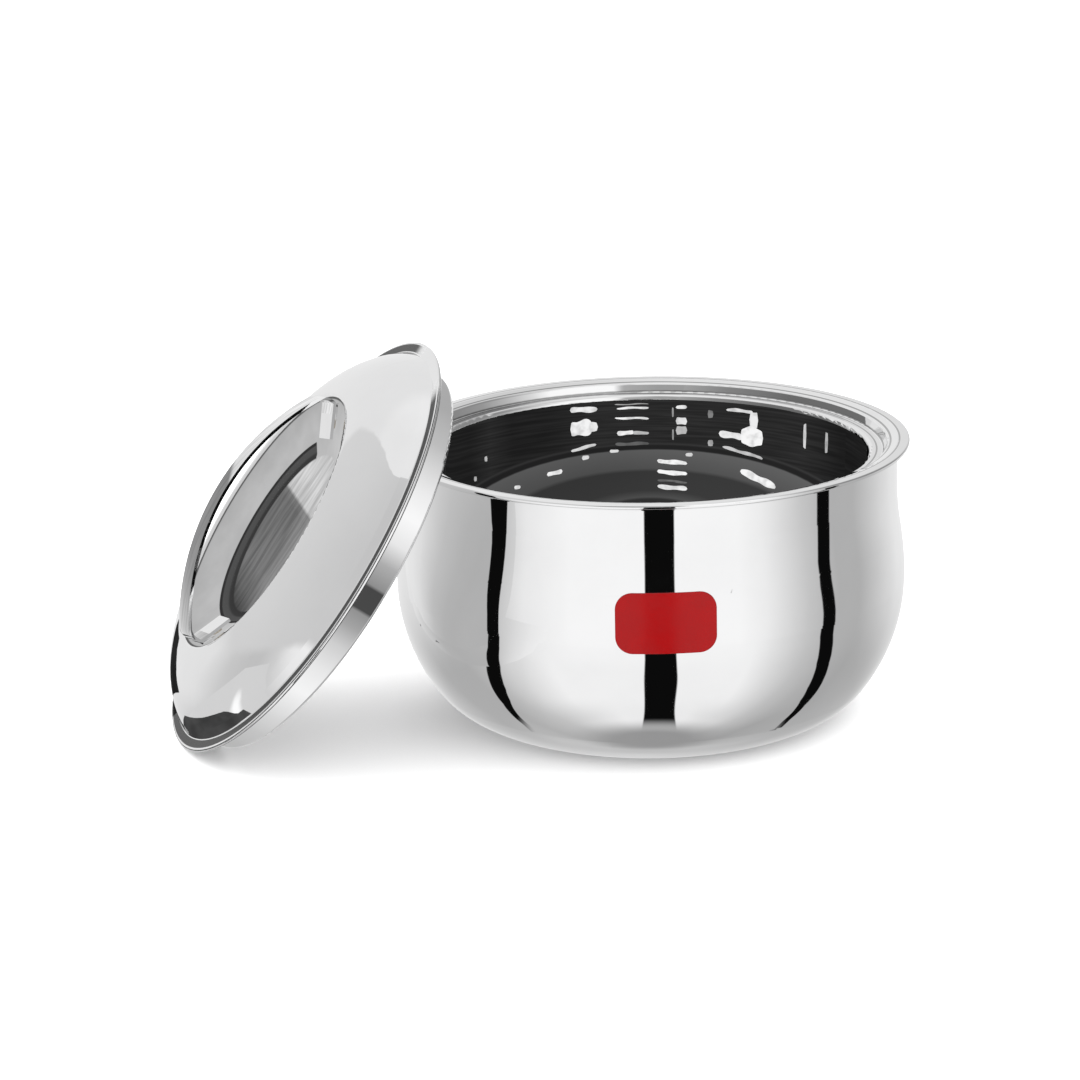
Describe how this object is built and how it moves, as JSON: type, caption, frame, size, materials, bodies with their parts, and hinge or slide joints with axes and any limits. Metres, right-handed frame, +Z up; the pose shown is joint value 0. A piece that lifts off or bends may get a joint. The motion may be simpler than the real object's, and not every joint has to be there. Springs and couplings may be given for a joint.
{
  "type": "insulated casserole with lid",
  "caption": "Round double-walled steel serving casserole with a bellied bowl and a lift-off domed lid, which leans beside it and has a strap handle over a sunk dish.",
  "frame": {"origin": "centre of the bowl's standing ring, on the table", "axes": "+Z up along the bowl's axis; +X away from the side that the lid leans on; the front with the badge faces -Y"},
  "size_m": [0.3197, 0.23, 0.1622],
  "materials": {
    "polished_steel": "mirror-polished stainless steel",
    "satin_steel": "satin stainless steel",
    "foam": "rigid polyurethane foam",
    "plug_plastic": "dark grey moulded plastic",
    "badge_film": "plain red gloss film"
  },
  "bodies": {
    "bowl": {"outer_shell": "polished_steel", "inner_bowl": "polished_steel", "bowl_insulation": "foam", "base_plate": "satin_steel", "base_fill_plug": "plug_plastic", "label_badge": "badge_film"},
    "lid": {"lid_outer_cover": "polished_steel", "lid_inner_cover": "polished_steel", "lid_insulation": "foam", "lid_fill_plug": "plug_plastic", "lid_handle": "polished_steel", "handle_studs": "polished_steel"}
  },
  "joints": [
    {"name": "lid_lift", "type": "slide", "parent": "bowl", "child": "lid", "axis": [0, 0, 1], "range_m": [0, 0.14]}
  ]
}
